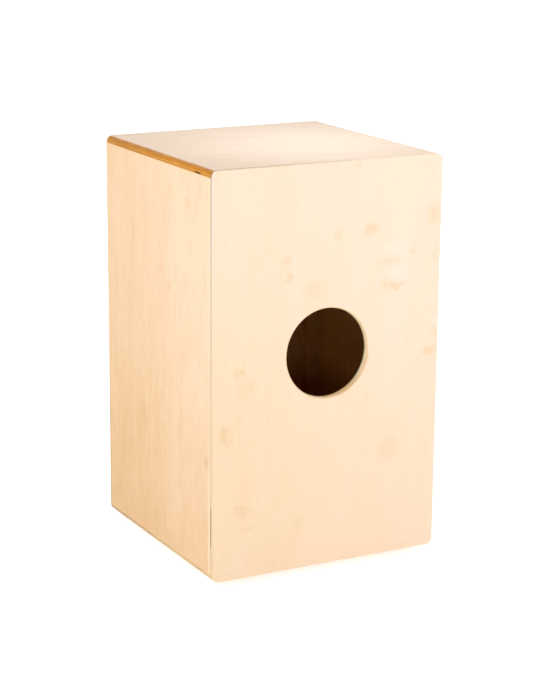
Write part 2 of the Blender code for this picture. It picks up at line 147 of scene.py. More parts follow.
NOISE_SHIFT = (1.0, 0.7, 1.3)  # the direction in which a noise's shift moves it


class Surface:
    """A material whose node tree is built by short calls.

    Places are the object's own coordinates. On a CAD node they are the frame's.
    """

    def __init__(self, name):
        self.material = bpy.data.materials.new(name)
        self.material.use_nodes = True
        self.tree = self.material.node_tree
        self.shader = self.tree.nodes["Principled BSDF"]
        self.place = self.add("ShaderNodeTexCoord").outputs["Object"]
        split = self.add("ShaderNodeSeparateXYZ", {0: self.place})
        self.axis = dict(zip("XYZ", split.outputs))

    def add(self, kind, inputs=None, **settings):
        """A node with its settings made and its inputs fed."""
        node = self.tree.nodes.new(kind)
        for key, value in settings.items():
            setattr(node, key, value)
        for socket, value in (inputs or {}).items():
            self.feed(node.inputs[socket], value)
        return node

    def feed(self, socket, value):
        """Links a socket to another node's output, or sets it to a constant."""
        if isinstance(value, bpy.types.NodeSocket):
            self.tree.links.new(value, socket)
        else:
            socket.default_value = value

    def finish(self, colour, roughness, bump=None, **constants):
        """Joins the tree to the shader. bump is (height, distance), constants its other sockets."""
        self.feed(self.shader.inputs["Base Color"], colour)
        self.feed(self.shader.inputs["Roughness"], roughness)
        if bump:
            height, distance = bump
            node = self.add("ShaderNodeBump", {"Height": height, "Distance": distance, "Strength": 1.0})
            self.feed(self.shader.inputs["Normal"], node.outputs["Normal"])
        for name, value in constants.items():
            socket = name.replace("_", " ").title().replace("Ior", "IOR")
            self.shader.inputs[socket].default_value = value
        return self.material

    def maths(self, operation, *values):
        node = self.add("ShaderNodeMath", operation=operation)
        for socket, value in zip(node.inputs, values):
            self.feed(socket, value)
        return node.outputs[0]

    def vector(self, operation, first, second):
        node = self.add("ShaderNodeVectorMath", {0: first, 1: second}, operation=operation)
        return node.outputs["Vector"]

    def from_point(self, point):
        """The place as measured from a point."""
        return self.vector("SUBTRACT", self.place, point)

    def length(self, vector):
        return self.add("ShaderNodeVectorMath", {0: vector}, operation="LENGTH").outputs["Value"]

    def along(self, first, second):
        """How far the first vector reaches in the direction of the second."""
        node = self.add("ShaderNodeVectorMath", {0: first, 1: second}, operation="DOT_PRODUCT")
        return node.outputs["Value"]

    def rise(self, value, low, high):
        """0 below low, 1 above high and smooth between them. It falls instead where low is the larger."""
        turned = low > high
        ends = {"From Min": min(low, high), "From Max": max(low, high)}
        ends.update({"To Min": float(turned), "To Max": float(not turned)})
        node = self.add("ShaderNodeMapRange", {"Value": value, **ends}, interpolation_type="SMOOTHSTEP")
        return node.outputs["Result"]

    def mix(self, factor, first, second, blend="MIX"):
        node = self.add("ShaderNodeMix", data_type="RGBA", blend_type=blend)
        for index, value in ((0, factor), (6, first), (7, second)):
            self.feed(node.inputs[index], rgba(value))
        return node.outputs[2]

    def ramp(self, factor, stops):
        node = self.add("ShaderNodeValToRGB", {"Fac": factor})
        elements = node.color_ramp.elements
        while len(elements) < len(stops):
            elements.new(0.5)
        for element, (place, colour) in zip(elements, stops):
            element.position = place
            element.color = rgba(colour)
        return node.outputs["Color"]

    def noise(self, scales, detail=2.0, roughness=0.5, shift=0.0, warp=0.0):
        """Noise with its own number of waves per metre along X, Y and Z."""
        stretched = self.vector("MULTIPLY", self.place, scales)
        moved = self.vector("ADD", stretched, tuple(shift * part for part in NOISE_SHIFT))
        inputs = {"Vector": moved, "Scale": 1.0}
        inputs.update({"Detail": detail, "Roughness": roughness, "Distortion": warp})
        return self.add("ShaderNodeTexNoise", inputs).outputs["Fac"]


def rgba(value):
    """A colour given as three linear values gets its fourth."""
    return (*value, 1.0) if isinstance(value, tuple) and len(value) == 3 else value


# Wood

VENEER = 0.0007  # thickness of a board's face veneers
SEAT_SKIN = 0.0004  # what sanding left of it on the seat's rounded edges
HOLE_SKIN = 0.0003  # how far the face's lacquer reaches over the sound hole's rim
SATIN = {"coat_weight": 0.12, "coat_roughness": 0.30, "coat_ior": 1.45, "specular_ior_level": 0.35}
SEATED = {"coat_weight": 0.06, "coat_roughness": 0.42, "coat_ior": 1.45, "specular_ior_level": 0.18}
INNER_LIGHT = (1.00, 0.680, 0.300)
INNER_DEEP = (0.50, 0.170, 0.025)
INNER_BANDS = 0.25  # how far the growth bands deepen the bare inner veneer
INNER_SHADE_FROM, INNER_SHADE_TO, INNER_SHADE = 0.20, 0.13, 0.9  # heights between which painted shade sets in towards the floor, and its share
PORE = (0.50, 0.33, 0.19)
FLECK = (0.89, 0.865, 0.730)  # multiplies the face's colour in a dark patch of wild grain
GLEAM = (1.01, 1.070, 1.150)  # the same in a pale patch
EVEN_TONE = 0.4  # from a veneer's light colour (0) to its deep one (1), on a board with no drift
FACE_ROUGHNESS, SEAT_ROUGHNESS, ROUGHNESS_SPREAD = 0.34, 0.56, 0.16
FACE_BUMP, SAWN_BUMP = 0.00003, 0.00008

GRADES = {  # waves per metre across and along the grain, detail and distortion of each pattern
    "fine": ((22, 5, 3, 0.6), (210, 2.2, 4, 0), (1100, 14, 2, 0), (62, 38, 3, 1.2), (640, 26, 1, 0)),
    "open": ((22, 6, 3, 0.6), (150, 9, 3, 0.2), (520, 30, 3, 0), (52, 30, 3, 1.4), (400, 26, 1, 0)),
}
PORE_SHARE = {"fine": 0.18, "open": 0.48}
PORE_FROM, PORE_TO = 0.62, 0.78
GRAIN_ROUGHNESS = 0.58
GRAIN_SHIFT = 3.1  # from one pattern of a board to the next

# Weight of a veneer's broad figure, growth bands, fibre and clouds
OPEN_GRAIN = (0.55, 0.28, 0.28, 0.45)
FINE_GRAIN = (0.50, 0.22, 0.14, 0.42)
SEAT_GRAIN = (0.50, 0.30, 0.15, 0.25)

# Waves per metre across and along the grain
FLECK_EDGE_WAVES = (110, 75)
FLECK_MOTTLE_WAVES = (190, 110)
FLECK_WOBBLE = 0.020  # metres for a full swing of the noise that moves a patch's outline about


def stretch(along, across_waves, along_waves):
    """Waves per metre on each axis for a pattern that runs along one axis."""
    scales = [across_waves] * 3
    scales["XYZ".index(along)] = along_waves
    return tuple(scales)


def grain(surface, along, seed, grade):
    """Straight grain: its broad figure, growth bands, fine fibre and clouds, and then its short pores."""
    patterns = []
    for number, (across_waves, along_waves, detail, warp) in enumerate(GRADES[grade]):
        scales = stretch(along, across_waves, along_waves)
        patterns.append(surface.noise(scales, detail, GRAIN_ROUGHNESS, seed + GRAIN_SHIFT * number, warp))
    return patterns[:-1], surface.rise(patterns[-1], PORE_FROM, PORE_TO)


def wandering_place(surface, along):
    """The place moved about by noise, so that what is drawn there has an uneven outline."""
    scaled = surface.vector("MULTIPLY", surface.place, stretch(along, *FLECK_EDGE_WAVES))
    noise = surface.add("ShaderNodeTexNoise", {"Vector": scaled, "Scale": 1.0, "Detail": 4.0})
    wobble = surface.vector("SUBTRACT", noise.outputs["Color"], (0.5,) * 3)
    return surface.vector("ADD", surface.place, surface.vector("MULTIPLY", wobble, (FLECK_WOBBLE,) * 3))


def flecks(surface, across, along, patches, seed):
    """Soft patches of wild grain. Each is (across, along, half width, half length, strength)."""
    moved = wandering_place(surface, along)
    total = 0.0
    for across_at, along_at, half_width, half_length, strength in patches:
        centre, reach = [0.0] * 3, [0.0] * 3
        centre["XYZ".index(across)], reach["XYZ".index(across)] = across_at, 1 / half_width
        centre["XYZ".index(along)], reach["XYZ".index(along)] = along_at, 1 / half_length
        local = surface.vector("MULTIPLY", surface.vector("SUBTRACT", moved, tuple(centre)), tuple(reach))
        patch = surface.rise(surface.length(local), 1.0, 0.25)
        total = surface.maths("MULTIPLY_ADD", patch, strength, total)
    mottle = surface.rise(surface.noise(stretch(along, *FLECK_MOTTLE_WAVES), 2.0, 0.5, seed + 2.0), 0.3, 0.6)
    return surface.maths("MULTIPLY", total, surface.maths("MULTIPLY_ADD", mottle, 0.5, 0.5))


PLY_WOBBLE, PLY_DRIFT = 0.00018, 0.00045  # how far a ply wanders in depth, on a short edge and a long one


def plies(surface, depth, thickness, stops, wobble=PLY_WOBBLE):
    """Colour of a board's cut edge by the depth below its face. Stops are (depth, colour) in metres."""
    waves = surface.noise((35, 35, 35), 2.0, 0.5, 2.0)
    shifted = surface.maths("MULTIPLY_ADD", surface.maths("SUBTRACT", waves, 0.5), 2 * wobble, depth)
    return surface.ramp(surface.maths("DIVIDE", shifted, thickness), [(d / thickness, c) for d, c in stops])


def inner_colour(surface, bands, shaded_inside):
    """Bare inner veneer. A board shaded inside, seen through the sound hole, darkens towards the floor with
    painted shade.
    """
    tone = surface.maths("MULTIPLY", bands, INNER_BANDS)
    if shaded_inside:
        # painted shade: the inner veneer darkens towards the floor
        low = surface.rise(surface.axis["Z"], INNER_SHADE_FROM, INNER_SHADE_TO)
        tone = surface.maths("MULTIPLY_ADD", low, INNER_SHADE, tone)
    return surface.mix(tone, INNER_LIGHT, INNER_DEEP)


def veneer_tone(surface, patterns, weights, drift):
    """How far a veneer is from its light colour to its deep one, by its drift and its grain."""
    tone = drift(surface) if drift else EVEN_TONE
    for pattern, weight in zip(patterns, weights):
        tone = surface.maths("MULTIPLY_ADD", surface.maths("SUBTRACT", pattern, 0.5), weight, tone)
    return tone


def with_patches(surface, face, across, along, patches, seed):
    """The face with its pale patches of wild grain, whose strength is below 0, and then its dark ones."""
    pale = [(*patch[:4], -patch[4]) for patch in patches if patch[4] < 0]
    dark = [patch for patch in patches if patch[4] > 0]
    face = surface.mix(flecks(surface, across, along, pale, seed + 4), face, GLEAM, "MULTIPLY")
    return surface.mix(flecks(surface, across, along, dark, seed), face, FLECK, "MULTIPLY")


def panel_material(
    name, across, along, depth, thickness, tones, edge, seed, patches=(), drift=None, extra=None, last=None,
    weights=OPEN_GRAIN, grade="open", finish=SATIN, skin=VENEER, roughness=FACE_ROUGHNESS, seams=False,
    shaded_inside=False,
):
    """A plywood board: lacquered outer veneer, plies on its cut edges, and bare inner veneer.

    across and along are the axes of the grain, seed shifts it, and grade is how open it is.
    depth(surface) gives the depth below the outer face, and skin how far down the face's colour goes.
    edge(surface, depth) colours the cut edges. tones are the veneer's light and deep colours,
    drift(surface) leads from the one to the other as painted shade, or on the seat as painted sheen,
    and weights are those of the grain's patterns.
    patches are its wild grain. extra(surface, colour) changes the face alone, and last(surface, colour)
    the whole board. finish holds the lacquer's constants. A board with seams takes painted shade in the
    open joint round the back panel, and one shaded inside gets painted shade inside towards the floor.
    """
    surface = Surface(name)
    patterns, pores = grain(surface, along, seed, grade)
    _, bands, fibre, _ = patterns
    face = surface.mix(veneer_tone(surface, patterns, weights, drift), *tones)
    face = surface.mix(surface.maths("MULTIPLY", pores, PORE_SHARE[grade]), face, PORE)
    if patches:
        face = with_patches(surface, face, across, along, patches, seed)
    if extra:
        face = extra(surface, face)
    below = depth(surface)
    colour = surface.mix(surface.rise(below, skin * 0.6, skin), face, edge(surface, below))
    inside = surface.rise(below, thickness - VENEER, thickness - VENEER * 0.6)
    colour = surface.mix(inside, colour, inner_colour(surface, bands, shaded_inside))
    if seams:
        # painted shade in the open seam round the back panel
        colour = surface.mix(seam_shade(surface), colour, SEAM_SHADE_BROWN)
    if last:
        colour = last(surface, colour)
    rough = surface.maths("MULTIPLY_ADD", fibre, ROUGHNESS_SPREAD, roughness)
    height = surface.maths("SUBTRACT", surface.maths("MULTIPLY", fibre, 0.5), pores)
    return surface.finish(colour, rough, (height, FACE_BUMP), **finish)


# Stops of a cut edge's colour, each (depth below the face, colour)

SEAT_EDGE = (
    (0.0000, (0.600, 0.330, 0.150)),
    (0.0009, (0.500, 0.240, 0.090)),
    (0.0013, (0.460, 0.210, 0.050)),
    (0.0021, (0.470, 0.200, 0.035)),
    (0.0027, (0.530, 0.200, 0.012)),
    (0.0044, (0.550, 0.205, 0.012)),
    (0.0050, (0.610, 0.255, 0.028)),
    (0.0064, (0.630, 0.270, 0.040)),
    (0.0070, (0.490, 0.195, 0.014)),
    (0.0077, (0.500, 0.205, 0.018)),
    (0.0084, (0.560, 0.250, 0.040)),
    (0.0090, (0.640, 0.340, 0.100)),
)
BOTTOM_EDGE = (
    (0.0000, (0.440, 0.250, 0.080)),
    (0.0010, (0.400, 0.215, 0.065)),
    (0.0022, (0.440, 0.250, 0.080)),
    (0.0030, (0.500, 0.300, 0.105)),
    (0.0048, (0.620, 0.400, 0.165)),
    (0.0056, (0.610, 0.410, 0.170)),
    (0.0070, (0.670, 0.480, 0.215)),
    (0.0088, (0.740, 0.570, 0.300)),
)
HOLE_EDGE = (
    (0.0000, (0.720, 0.490, 0.270)),
    (0.0006, (0.780, 0.530, 0.290)),
    (0.0011, (0.950, 0.710, 0.430)),
    (0.0018, (0.990, 0.800, 0.500)),
    (0.0026, (0.980, 0.780, 0.490)),
    (0.0034, (0.990, 0.820, 0.520)),
    (0.0042, (1.000, 0.880, 0.610)),
    (0.0056, (1.000, 0.900, 0.640)),
)
SIDE_EDGE = (
    (0.0000, (0.840, 0.620, 0.380)),
    (0.0020, (0.760, 0.520, 0.290)),
    (0.0038, (0.820, 0.590, 0.350)),
    (0.0060, (0.750, 0.510, 0.280)),
    (0.0080, (0.820, 0.600, 0.360)),
)
PLATE_EDGE = (
    (0.0000, (0.600, 0.510, 0.375)),
    (0.0012, (0.540, 0.445, 0.315)),
    (0.0022, (0.600, 0.510, 0.375)),
)
RAW_BROWN = (0.36, 0.160, 0.035)
RAW_GOLD = (0.84, 0.480, 0.160)
# painted shade in the open seam round the back panel
SEAM_SHADE_BROWN = (0.24, 0.140, 0.050)
MARGIN_PALE = (0.93, 0.760, 0.530)
TOP_EDGE_TAN = (0.74, 0.560, 0.410)
MARGIN_WIDTH, MARGIN_FADE = 0.0060, 0.0025  # of the pale margin beside the back seam

# The sound hole's rim, as radii and as directions from the hole's middle
RIM_TAN = (0.86, 0.740, 0.560)
RIM_RING_INNER, RIM_RING_OUTER, RIM_BLUR = 0.0538, 0.0563, 0.0006
WALL_RADIUS = 0.0542  # inside it is the hole's wall
RIM_TOWARDS, FOOT_TOWARDS = (-0.77, 0.0, -0.64), (-0.34, 0.0, -0.94)
RIM_DEPTH = 0.0012  # below the panel's face
FOOT_SHARE = 0.7

# Painted shade in the void in the seat's plies
VOID_SHADE = (0.050, 0.028, 0.010)
VOID_Y, VOID_Z = 0.1075, 0.4828
VOID_DEPTH, VOID_REACH, VOID_HEIGHT = 0.0100, 0.0085, 0.0011

# The painted shade of the open seam round the back panel
SEAM_OFFSET = 0.00015  # from the carcass's back to the middle of the seam
SEAM_UNIT = 0.0020  # a seam width of 1 in the table below
SEAM_WIDTHS = (  # height, width
    (0.020, 0.40),
    (0.050, 0.48),
    (0.057, 1.00),
    (0.096, 1.00),
    (0.104, 0.42),
    (0.200, 0.36),
    (0.270, 0.58),
    (0.410, 0.66),
    (0.440, 0.85),
    (0.485, 0.92),
)


def long_edge(thickness, stops, far=0.40):
    """Plies on a board's edge along Y, in streaks. They darken by the far share towards the front, as painted
    shade.
    """

    def edge(surface, below):
        cut = plies(surface, below, thickness, stops, PLY_DRIFT)
        streaks = surface.noise((500, 45, 620), 4.0, 0.7, 5.0)
        # painted shade: darker towards the front
        dark = surface.maths("MULTIPLY", surface.rise(surface.axis["Y"], 0.06, -0.15), far)
        dark = surface.maths("MULTIPLY_ADD", surface.rise(streaks, 0.48, 0.72), 0.55, dark)
        cut = surface.mix(dark, cut, RAW_BROWN)
        bright = surface.maths("MULTIPLY", surface.rise(streaks, 0.50, 0.28), 0.35)
        return surface.mix(bright, cut, RAW_GOLD)

    return edge


def short_edge(thickness, stops):
    """Plies on an edge that is little seen."""

    def edge(surface, below):
        cut = plies(surface, below, thickness, stops)
        mottle = surface.noise((260, 260, 260), 2.0, 0.6, 5.0)
        return surface.mix(surface.maths("MULTIPLY", mottle, 0.2), cut, RAW_BROWN)

    return edge


def back_edge(surface, below):
    """Plies round the sound hole. The panel's outer edge is as pale as its face, with the same painted shade
    towards the floor, and darker along its top.
    """
    from_hole = surface.length(surface.from_point(HOLE_MIDDLE))
    away = surface.rise(from_hole, HOLE_RIM, HOLE_RIM + 0.004)
    # painted shade: the edge takes the face's tones, deeper towards the floor
    shade_fall = surface.rise(surface.axis["Z"], 0.46, 0.10)
    pale = surface.mix(shade_fall, *BACK_TONES)
    # the panel's top edge is darker towards +X
    upward = surface.rise(surface.axis["Z"], BOX_TOP - 0.0006, BOX_TOP - 0.0002)
    top_band = surface.maths("MULTIPLY", upward, surface.rise(surface.axis["X"], -0.08, 0.10))
    pale = surface.mix(top_band, pale, TOP_EDGE_TAN)
    return surface.mix(away, short_edge(BACK_THICKNESS, HOLE_EDGE)(surface, below), pale)


def seam_shade(surface):
    """How much painted shade the open seam round the back panel takes, from its own width at each height and along
    the top.
    """
    step = surface.maths("DIVIDE", surface.axis["Z"], BOX_TOP)
    width = surface.ramp(step, [(z / BOX_TOP, (w, w, w)) for z, w in SEAM_WIDTHS])
    along_top = surface.rise(surface.axis["Z"], BOX_TOP - 0.0030, BOX_TOP - 0.0005)
    kept = surface.maths("MULTIPLY", along_top, surface.rise(surface.axis["X"], 0.13, -0.10))
    width = surface.maths("MULTIPLY", width, surface.maths("SUBTRACT", 1.0, kept))
    half = surface.maths("MULTIPLY", width, SEAM_UNIT / 2)
    from_seam = surface.maths("SUBTRACT", surface.axis["Y"], CARCASS_BACK + SEAM_OFFSET)
    away = surface.maths("ABSOLUTE", from_seam)
    return surface.maths("LESS_THAN", away, half)


# Each veneer's light and deep colours. The drifts lead between them as painted shade, and on the seat as painted
# sheen.
BACK_TONES = ((0.845, 0.645, 0.512), (0.762, 0.566, 0.342))
SIDE_TONES = ((0.850, 0.605, 0.402), (0.680, 0.390, 0.135))
TOP_TONES = ((0.890, 0.742, 0.604), (0.655, 0.515, 0.405))
SHEEN_MIDDLE, SHEEN_REACH = (-0.050, 0.022), 0.27  # the middle of the painted sheen on the seat, and how far it fades

# Wild grain, each (across, along, half width, half length, strength). A strength below 0 is a pale patch.
BACK_PATCHES = (
    (-0.010, 0.407, 0.009, 0.010, 0.95),
    (-0.055, 0.409, 0.012, 0.011, 0.95),
    (-0.083, 0.386, 0.026, 0.011, -0.60),
    (-0.079, 0.369, 0.020, 0.005, 0.65),
    (-0.084, 0.355, 0.024, 0.008, -0.60),
    (-0.085, 0.340, 0.026, 0.006, 0.95),
    (-0.113, 0.378, 0.009, 0.008, 0.65),
    (-0.138, 0.420, 0.016, 0.022, 0.75),
    (-0.145, 0.375, 0.010, 0.016, 0.40),
    (-0.146, 0.277, 0.008, 0.010, 0.70),
    (-0.144, 0.290, 0.010, 0.008, -0.60),
    (-0.135, 0.255, 0.014, 0.008, 0.95),
    (-0.034, 0.486, 0.009, 0.008, 0.50),
    (0.056, 0.380, 0.007, 0.008, 0.70),
    (0.052, 0.361, 0.007, 0.013, 0.85),
    (0.020, 0.345, 0.024, 0.014, 0.45),
    (0.115, 0.258, 0.011, 0.009, 1.00),
    (0.106, 0.238, 0.018, 0.016, 0.40),
    (0.098, 0.284, 0.010, 0.010, 0.20),
    (0.133, 0.186, 0.014, 0.018, 0.80),
    (0.120, 0.200, 0.010, 0.012, 0.45),
    (-0.084, 0.140, 0.022, 0.022, 0.55),
    (0.111, 0.093, 0.015, 0.010, 0.65),
    (0.105, 0.069, 0.010, 0.007, 0.50),
    (0.038, 0.070, 0.014, 0.014, 0.25),
)
SIDE_PATCHES = (
    (0.082, 0.444, 0.013, 0.009, 1.00),
    (0.089, 0.397, 0.014, 0.012, 0.40),
    (0.010, 0.358, 0.014, 0.006, 0.55),
    (0.031, 0.337, 0.008, 0.008, 0.80),
    (0.070, 0.262, 0.014, 0.012, 0.50),
    (0.060, 0.300, 0.020, 0.020, -0.30),
    (0.095, 0.225, 0.050, 0.060, -0.90),
    (-0.042, 0.166, 0.007, 0.024, 0.95),
    (-0.061, 0.125, 0.006, 0.030, -0.45),
    (0.062, 0.180, 0.006, 0.026, 0.50),
    (0.075, 0.168, 0.005, 0.026, -0.25),
    (0.132, 0.152, 0.012, 0.010, 1.00),
)


def depth_from(axis, face, sign):
    """Depth below a face that looks along an axis, for panel_material."""

    def depth(surface):
        return surface.maths("MULTIPLY", surface.maths("SUBTRACT", surface.axis[axis], face), -sign)

    return depth


def side_depth(surface):
    """Depth below either side board's outer face."""
    return surface.maths("SUBTRACT", HALF_WIDTH, surface.maths("ABSOLUTE", surface.axis["X"]))


def back_shade_drift(surface):
    """Painted shade: deeper towards the floor and towards the drum's right."""
    shade_fall = surface.rise(surface.axis["Z"], 0.46, 0.14)
    lean = surface.rise(surface.axis["X"], -0.16, 0.16)
    return surface.maths("MULTIPLY_ADD", shade_fall, 0.36, surface.maths("MULTIPLY", lean, 0.28))


def side_shade_drift(surface):
    """Painted shade: deeper towards the floor and towards the front."""
    shade_fall = surface.rise(surface.axis["Z"], 0.46, 0.02)
    lean = surface.rise(surface.axis["Y"], 0.14, -0.14)
    return surface.maths("MULTIPLY_ADD", shade_fall, 0.45, surface.maths("MULTIPLY", lean, 0.35))


def ply_void(surface, colour):
    """Painted shade in the void in the seat board's edge, just above the side board."""
    local = surface.from_point((HALF_WIDTH, VOID_Y, VOID_Z))
    scaled = surface.vector("MULTIPLY", local, (1 / VOID_DEPTH, 1 / VOID_REACH, 1 / VOID_HEIGHT))
    return surface.mix(surface.rise(surface.length(scaled), 1.1, 0.8), colour, VOID_SHADE)


def seat_sheen_drift(surface):
    """Painted sheen: palest near the middle, deeper further away."""
    away = surface.length(surface.from_point((*SHEEN_MIDDLE, BOX_TOP)))
    return surface.rise(away, 0.0, SHEEN_REACH)


def pale_margin(surface, colour):
    """The side veneer is paler in a narrow margin along the back seam, most of all near the floor."""
    edge = CARCASS_BACK - MARGIN_WIDTH
    margin = surface.rise(surface.axis["Y"], edge - MARGIN_FADE, edge)
    low = surface.rise(surface.axis["Z"], 0.20, 0.06)
    share = surface.maths("MULTIPLY", margin, surface.maths("MULTIPLY_ADD", low, 0.35, 0.15))
    return surface.mix(share, colour, MARGIN_PALE)


def darker_rim(surface, colour):
    """The sound hole's rounded rim is a darker tan at its lower right, and its wall is darker below."""
    local = surface.from_point(HOLE_MIDDLE)
    reach = surface.length(local)
    ring = surface.maths(
        "MULTIPLY",
        surface.rise(reach, RIM_RING_INNER, RIM_RING_INNER + RIM_BLUR),
        surface.rise(reach, RIM_RING_OUTER, RIM_RING_OUTER - RIM_BLUR),
    )
    near_face = surface.rise(surface.axis["Y"], BACK_FACE - RIM_DEPTH - 0.0008, BACK_FACE - RIM_DEPTH)
    ring = surface.maths("MULTIPLY", ring, near_face)
    share = surface.maths("MULTIPLY", ring, surface.rise(surface.along(local, RIM_TOWARDS), 0.042, 0.050))
    colour = surface.mix(share, colour, RIM_TAN, "MULTIPLY")
    wall = surface.maths("MULTIPLY", surface.rise(reach, WALL_RADIUS + RIM_BLUR, WALL_RADIUS), FOOT_SHARE)
    share = surface.maths("MULTIPLY", wall, surface.rise(surface.along(local, FOOT_TOWARDS), 0.045, 0.051))
    return surface.mix(share, colour, RIM_TAN, "MULTIPLY")


def paint(node, *materials):
    """Gives a CAD node its materials through its object's own slots."""
    obj = NODES[node]
    for slot, material in zip(obj.material_slots, materials):
        slot.link = "OBJECT"
        slot.material = material


def seat_ply():
    return panel_material(
        "seat_ply", "Y", "X", depth_from("Z", BOX_TOP, 1), BOARD, TOP_TONES, long_edge(BOARD, SEAT_EDGE),
        seed=4.0, drift=seat_sheen_drift, last=ply_void, weights=SEAT_GRAIN, grade="fine", finish=SEATED,
        skin=SEAT_SKIN, roughness=SEAT_ROUGHNESS, seams=True,
    )


def bottom_ply():
    return panel_material(
        "bottom_ply", "Y", "X", depth_from("Z", BOX_BOTTOM, -1), BOARD, TOP_TONES,
        long_edge(BOARD, BOTTOM_EDGE, 0.50), seed=9.0,
    )


def side_ply(side, seed, patches, shaded_inside):
    return panel_material(
        f"side_ply_{side}", "Y", "Z", side_depth, BOARD, SIDE_TONES, short_edge(BOARD, SIDE_EDGE),
        seed=seed, patches=patches, drift=side_shade_drift, extra=pale_margin, seams=True, shaded_inside=shaded_inside,
    )


def back_ply():
    return panel_material(
        "back_ply", "X", "Z", depth_from("Y", BACK_FACE, 1), BACK_THICKNESS, BACK_TONES, back_edge,
        seed=0.0, patches=BACK_PATCHES, drift=back_shade_drift, last=darker_rim, weights=FINE_GRAIN, grade="fine",
        skin=HOLE_SKIN, seams=True,
    )


def front_ply():
    return panel_material(
        "front_ply", "X", "Z", depth_from("Y", FRONT_FACE, -1), FRONT_THICKNESS, BACK_TONES,
        short_edge(FRONT_THICKNESS, PLATE_EDGE), seed=15.0, drift=back_shade_drift, weights=FINE_GRAIN,
        grade="fine", shaded_inside=True,
    )


def paint_panels():
    paint("top_panel", seat_ply())
    paint("bottom_panel", bottom_ply())
    paint("left_side_panel", side_ply("left", 33.0, (), True))
    paint("right_side_panel", side_ply("right", 1.0, SIDE_PATCHES, False))
    paint("back_panel", back_ply())
    paint("front_plate", front_ply())


BEECH = ((0.66, 0.42, 0.24), (0.50, 0.28, 0.14))
SAWN_PORES = 0.25


def solid_wood(name, along, seed, tones=None):
    """Bare sawn wood. Without tones of its own it is as dark as the boards round it, with their painted shade
    towards the floor.
    """
    surface = Surface(name)
    (figure, bands, fibre, _), pores = grain(surface, along, seed, "open")
    if tones:
        tone = surface.maths("MULTIPLY_ADD", bands, 0.7, surface.maths("MULTIPLY", figure, 0.5))
        colour = surface.mix(tone, *tones)
    else:
        colour = inner_colour(surface, bands, True)
    colour = surface.mix(surface.maths("MULTIPLY", pores, SAWN_PORES), colour, PORE)
    height = surface.maths("SUBTRACT", fibre, pores)
    return surface.finish(colour, surface.maths("MULTIPLY_ADD", fibre, 0.2, 0.55), (height, SAWN_BUMP))


def paint_inside():
    """The battens, the blocks and the snare bar keep their CAD shapes."""
    upright = solid_wood("batten_upright", "Z", 21.0)
    cross = solid_wood("batten_cross", "X", 23.0)
    beech = solid_wood("snare_beech", "X", 27.0, BEECH)
    for end in ("front", "back"):
        for side, _ in SIDES:
            paint(f"{end}_{side}_batten", upright)
        for level in ("top", "bottom"):
            paint(f"{end}_{level}_batten", cross)
    for side, _ in SIDES:
        paint(f"snare_block_{side}", beech)
    paint("snare_bar", beech)


# Metal, rubber and felt


def steel(name, tint, roughness, brushed):
    """Plated steel with fine random brushing and faint stains."""
    surface = Surface(name)
    scratches = surface.noise((2400, 2400, 300), 3.0, 0.6, 1.0)
    stains = surface.noise((160, 160, 160), 3.0, 0.6, 5.0)
    dull = tuple(value * 0.72 for value in tint)
    colour = surface.mix(surface.rise(stains, 0.42, 0.75), tint, dull)
    rough = surface.maths("MULTIPLY_ADD", scratches, brushed, roughness)
    return surface.finish(colour, rough, (scratches, 0.00001), metallic=1.0)


def rubber():
    """Matt moulded rubber with a fine pitted skin and a little dust."""
    surface = Surface("moulded_rubber")
    pits = surface.noise((1800, 1800, 1800), 3.0, 0.6, 2.0)
    dust = surface.noise((130, 130, 130), 4.0, 0.6, 8.0)
    colour = surface.mix(surface.rise(dust, 0.45, 0.80), (0.020, 0.020, 0.021), (0.050, 0.047, 0.044))
    return surface.finish(colour, surface.maths("MULTIPLY_ADD", pits, 0.25, 0.60), (pits, 0.00005))


def felt():
    """Dark pressed felt, for the friction washers."""
    surface = Surface("pressed_felt")
    fuzz = surface.noise((2600, 2600, 2600), 4.0, 0.7, 3.0)
    colour = surface.mix(fuzz, (0.035, 0.032, 0.030), (0.110, 0.100, 0.090))
    return surface.finish(colour, surface.maths("MULTIPLY_ADD", fuzz, 0.1, 0.88), (fuzz, 0.0002))


# Meshes

SMOOTH_BELOW = 35  # degrees between faces that are shaded as one


def new_piece(name, mesh, material, body, place=None, stands_for=None):
    """Adds a piece with its material, body, slot and place. It replaces the CAD node that it stands for."""
    obj = linked(name, mesh)
    if not mesh.materials:
        mesh.materials.append(material)
    if place:
        obj.matrix_world = place
    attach(obj, body)
    if stands_for:
        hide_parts(stands_for)


def smooth(mesh, below=SMOOTH_BELOW):
    mesh.shade_smooth()
    mesh.set_sharp_from_angle(angle=math.radians(below))


def mesh_from(bm, name, smooth_below=SMOOTH_BELOW):
    """The mesh of a closed bmesh, with its faces turned outward."""
    bmesh.ops.recalc_face_normals(bm, faces=bm.faces)
    mesh = bpy.data.meshes.new(name)
    bm.to_mesh(mesh)
    bm.free()
    smooth(mesh, smooth_below)
    return mesh


def evaluated_mesh(obj):
    """The object's mesh with its modifiers, or its curve's bevel, applied."""
    graph = bpy.context.evaluated_depsgraph_get()
    return bpy.data.meshes.new_from_object(obj.evaluated_get(graph))


def ring_of(bm, radius_at, height, steps):
    """A ring of points round +Z. radius_at is a number, or a function of the share of the turn."""
    ring = []
    for step in range(steps):
        share = step / steps
        angle = 2 * math.pi * share
        radius = radius_at(share) if callable(radius_at) else radius_at
        ring.append(bm.verts.new((radius * math.cos(angle), radius * math.sin(angle), height)))
    return ring


def bridge(bm, first, second):
    """Faces between two rings of as many points."""
    for step in range(len(first)):
        after = (step + 1) % len(first)
        bm.faces.new((first[step], first[after], second[after], second[step]))


